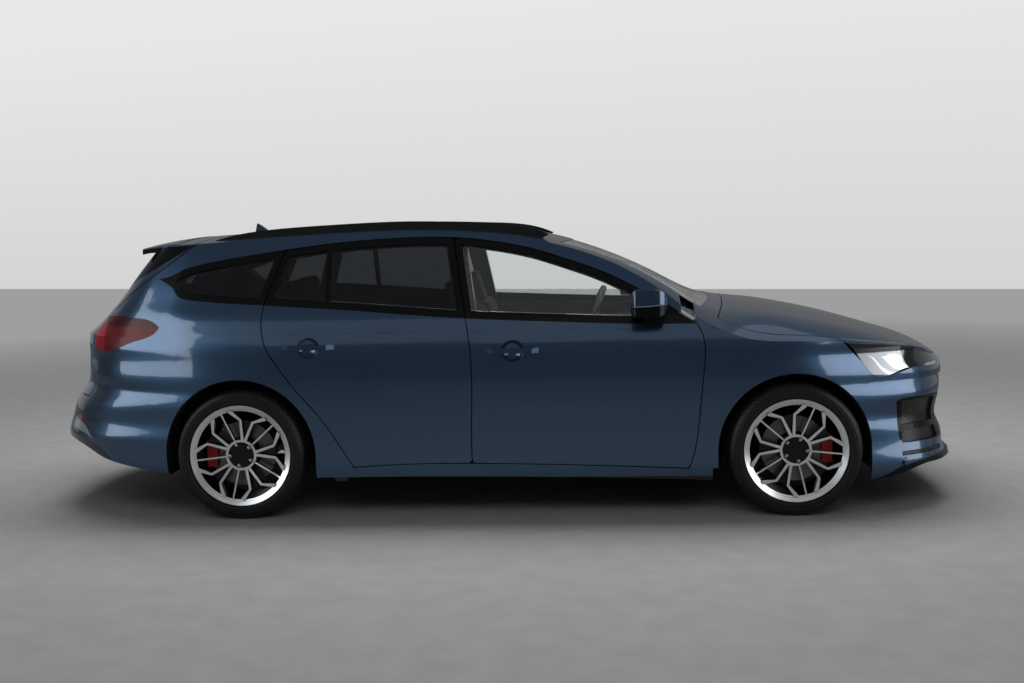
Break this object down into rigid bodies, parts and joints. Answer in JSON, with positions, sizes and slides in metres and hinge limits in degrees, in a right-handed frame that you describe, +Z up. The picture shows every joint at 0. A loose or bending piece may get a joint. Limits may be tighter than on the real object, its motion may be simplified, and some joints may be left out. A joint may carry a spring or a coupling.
{
  "type": "station wagon",
  "caption": "Metallic blue station wagon with opening side doors, bonnet and tailgate, steered front wheels, free-turning alloy wheels, low roof rails and a hollow cabin and load space.",
  "frame": {"origin": "on the ground, midway along the overall length, on the centre plane", "axes": "+X forwards, +Y to the left, +Z up"},
  "size_m": [4.6827, 1.978, 1.4567],
  "materials": {
    "body_paint": "metallic blue, clear coat",
    "underbody": "dull black primer",
    "glass_clear": "lightly tinted glass",
    "glass_privacy": "dark privacy glass",
    "lamp_clear": "clear lamp lens",
    "lamp_red": "red lamp lens",
    "black_trim": "gloss black",
    "black_plastic": "grained black plastic",
    "tyre": "black rubber",
    "alloy": "machined face over gloss black",
    "cast_metal": "cast and forged suspension parts",
    "steel": "exhaust steel",
    "upholstery": "dark woven cloth",
    "cabin_plastic": "soft dark plastic"
  },
  "bodies": {
    "root": {"side_frame_right": "body_paint", "side_frame_left": "body_paint", "roof_panel": "body_paint", "roof_rails": "black_trim", "floor_pan": "underbody", "front_structure": "underbody", "front_fenders": "body_paint", "front_bumper": "body_paint", "front_grille": "black_plastic", "rear_bumper": "body_paint", "windscreen": "glass_clear", "quarter_glass": "glass_privacy", "headlamps": "lamp_clear", "tail_lamps": "lamp_red", "wheel_arch_liners": "black_plastic", "cowl_panel": "black_plastic", "engine_block": "cast_metal", "front_subframe": "cast_metal", "rear_axle": "cast_metal", "exhaust": "steel", "dashboard": "cabin_plastic", "front_seats": "upholstery", "rear_seat": "upholstery"},
    "bonnet": {"bonnet": "body_paint"},
    "tailgate": {"tailgate": "body_paint", "tailgate_glass": "glass_privacy"},
    "front_door_right": {"front_door_right": "body_paint", "front_door_glass_right": "glass_clear", "door_mirror_right": "body_paint"},
    "rear_door_right": {"rear_door_right": "body_paint", "rear_door_glass_right": "glass_privacy"},
    "knuckle_right": {"front_knuckle_right": "cast_metal"},
    "front_wheel_right": {"front_rim_right": "alloy", "front_tyre_right": "tyre"},
    "rear_wheel_right": {"rear_rim_right": "alloy", "rear_tyre_right": "tyre"},
    "front_door_left": {"front_door_left": "body_paint", "front_door_glass_left": "glass_clear", "door_mirror_left": "body_paint"},
    "rear_door_left": {"rear_door_left": "body_paint", "rear_door_glass_left": "glass_privacy"},
    "knuckle_left": {"front_knuckle_left": "cast_metal"},
    "front_wheel_left": {"front_rim_left": "alloy", "front_tyre_left": "tyre"},
    "rear_wheel_left": {"rear_rim_left": "alloy", "rear_tyre_left": "tyre"}
  },
  "joints": [
    {"name": "front_door_right_hinge", "type": "hinge", "parent": "root", "child": "front_door_right", "pos_m": [1.028, -0.92, 0.6], "axis": [0, 0, 1], "range_deg": [0, 65]},
    {"name": "rear_door_right_hinge", "type": "hinge", "parent": "root", "child": "rear_door_right", "pos_m": [-0.09, -0.92, 0.6], "axis": [0, 0, 1], "range_deg": [0, 68]},
    {"name": "steer_right", "type": "hinge", "parent": "root", "child": "knuckle_right", "pos_m": [1.456, -0.748, 0.205], "axis": [-0.0261, 0.2413, 0.9701], "range_deg": [-34, 34]},
    {"name": "front_wheel_right_spin", "type": "hinge", "parent": "knuckle_right", "child": "front_wheel_right", "pos_m": [1.456, -0.786, 0.32], "axis": [0, 1, 0], "continuous": true},
    {"name": "rear_wheel_right_spin", "type": "hinge", "parent": "root", "child": "rear_wheel_right", "pos_m": [-1.244, -0.778, 0.32], "axis": [0, 1, 0], "continuous": true},
    {"name": "front_door_left_hinge", "type": "hinge", "parent": "root", "child": "front_door_left", "pos_m": [1.028, 0.92, 0.6], "axis": [0, 0, -1], "range_deg": [0, 65]},
    {"name": "rear_door_left_hinge", "type": "hinge", "parent": "root", "child": "rear_door_left", "pos_m": [-0.09, 0.92, 0.6], "axis": [0, 0, -1], "range_deg": [0, 68]},
    {"name": "steer_left", "type": "hinge", "parent": "root", "child": "knuckle_left", "pos_m": [1.456, 0.748, 0.205], "axis": [-0.0261, -0.2413, 0.9701], "range_deg": [-34, 34]},
    {"name": "front_wheel_left_spin", "type": "hinge", "parent": "knuckle_left", "child": "front_wheel_left", "pos_m": [1.456, 0.786, 0.32], "axis": [0, 1, 0], "continuous": true},
    {"name": "rear_wheel_left_spin", "type": "hinge", "parent": "root", "child": "rear_wheel_left", "pos_m": [-1.244, 0.778, 0.32], "axis": [0, 1, 0], "continuous": true},
    {"name": "bonnet_hinge", "type": "hinge", "parent": "root", "child": "bonnet", "pos_m": [1.115, 0, 1.035], "axis": [0, -1, 0], "range_deg": [0, 55]},
    {"name": "tailgate_hinge", "type": "hinge", "parent": "root", "child": "tailgate", "pos_m": [-1.478, 0, 1.4], "axis": [0, 1, 0], "range_deg": [0, 78]}
  ],
  "couplings": [
    {"joint": "steer_left", "follows": "steer_right", "ratio": 1}
  ]
}
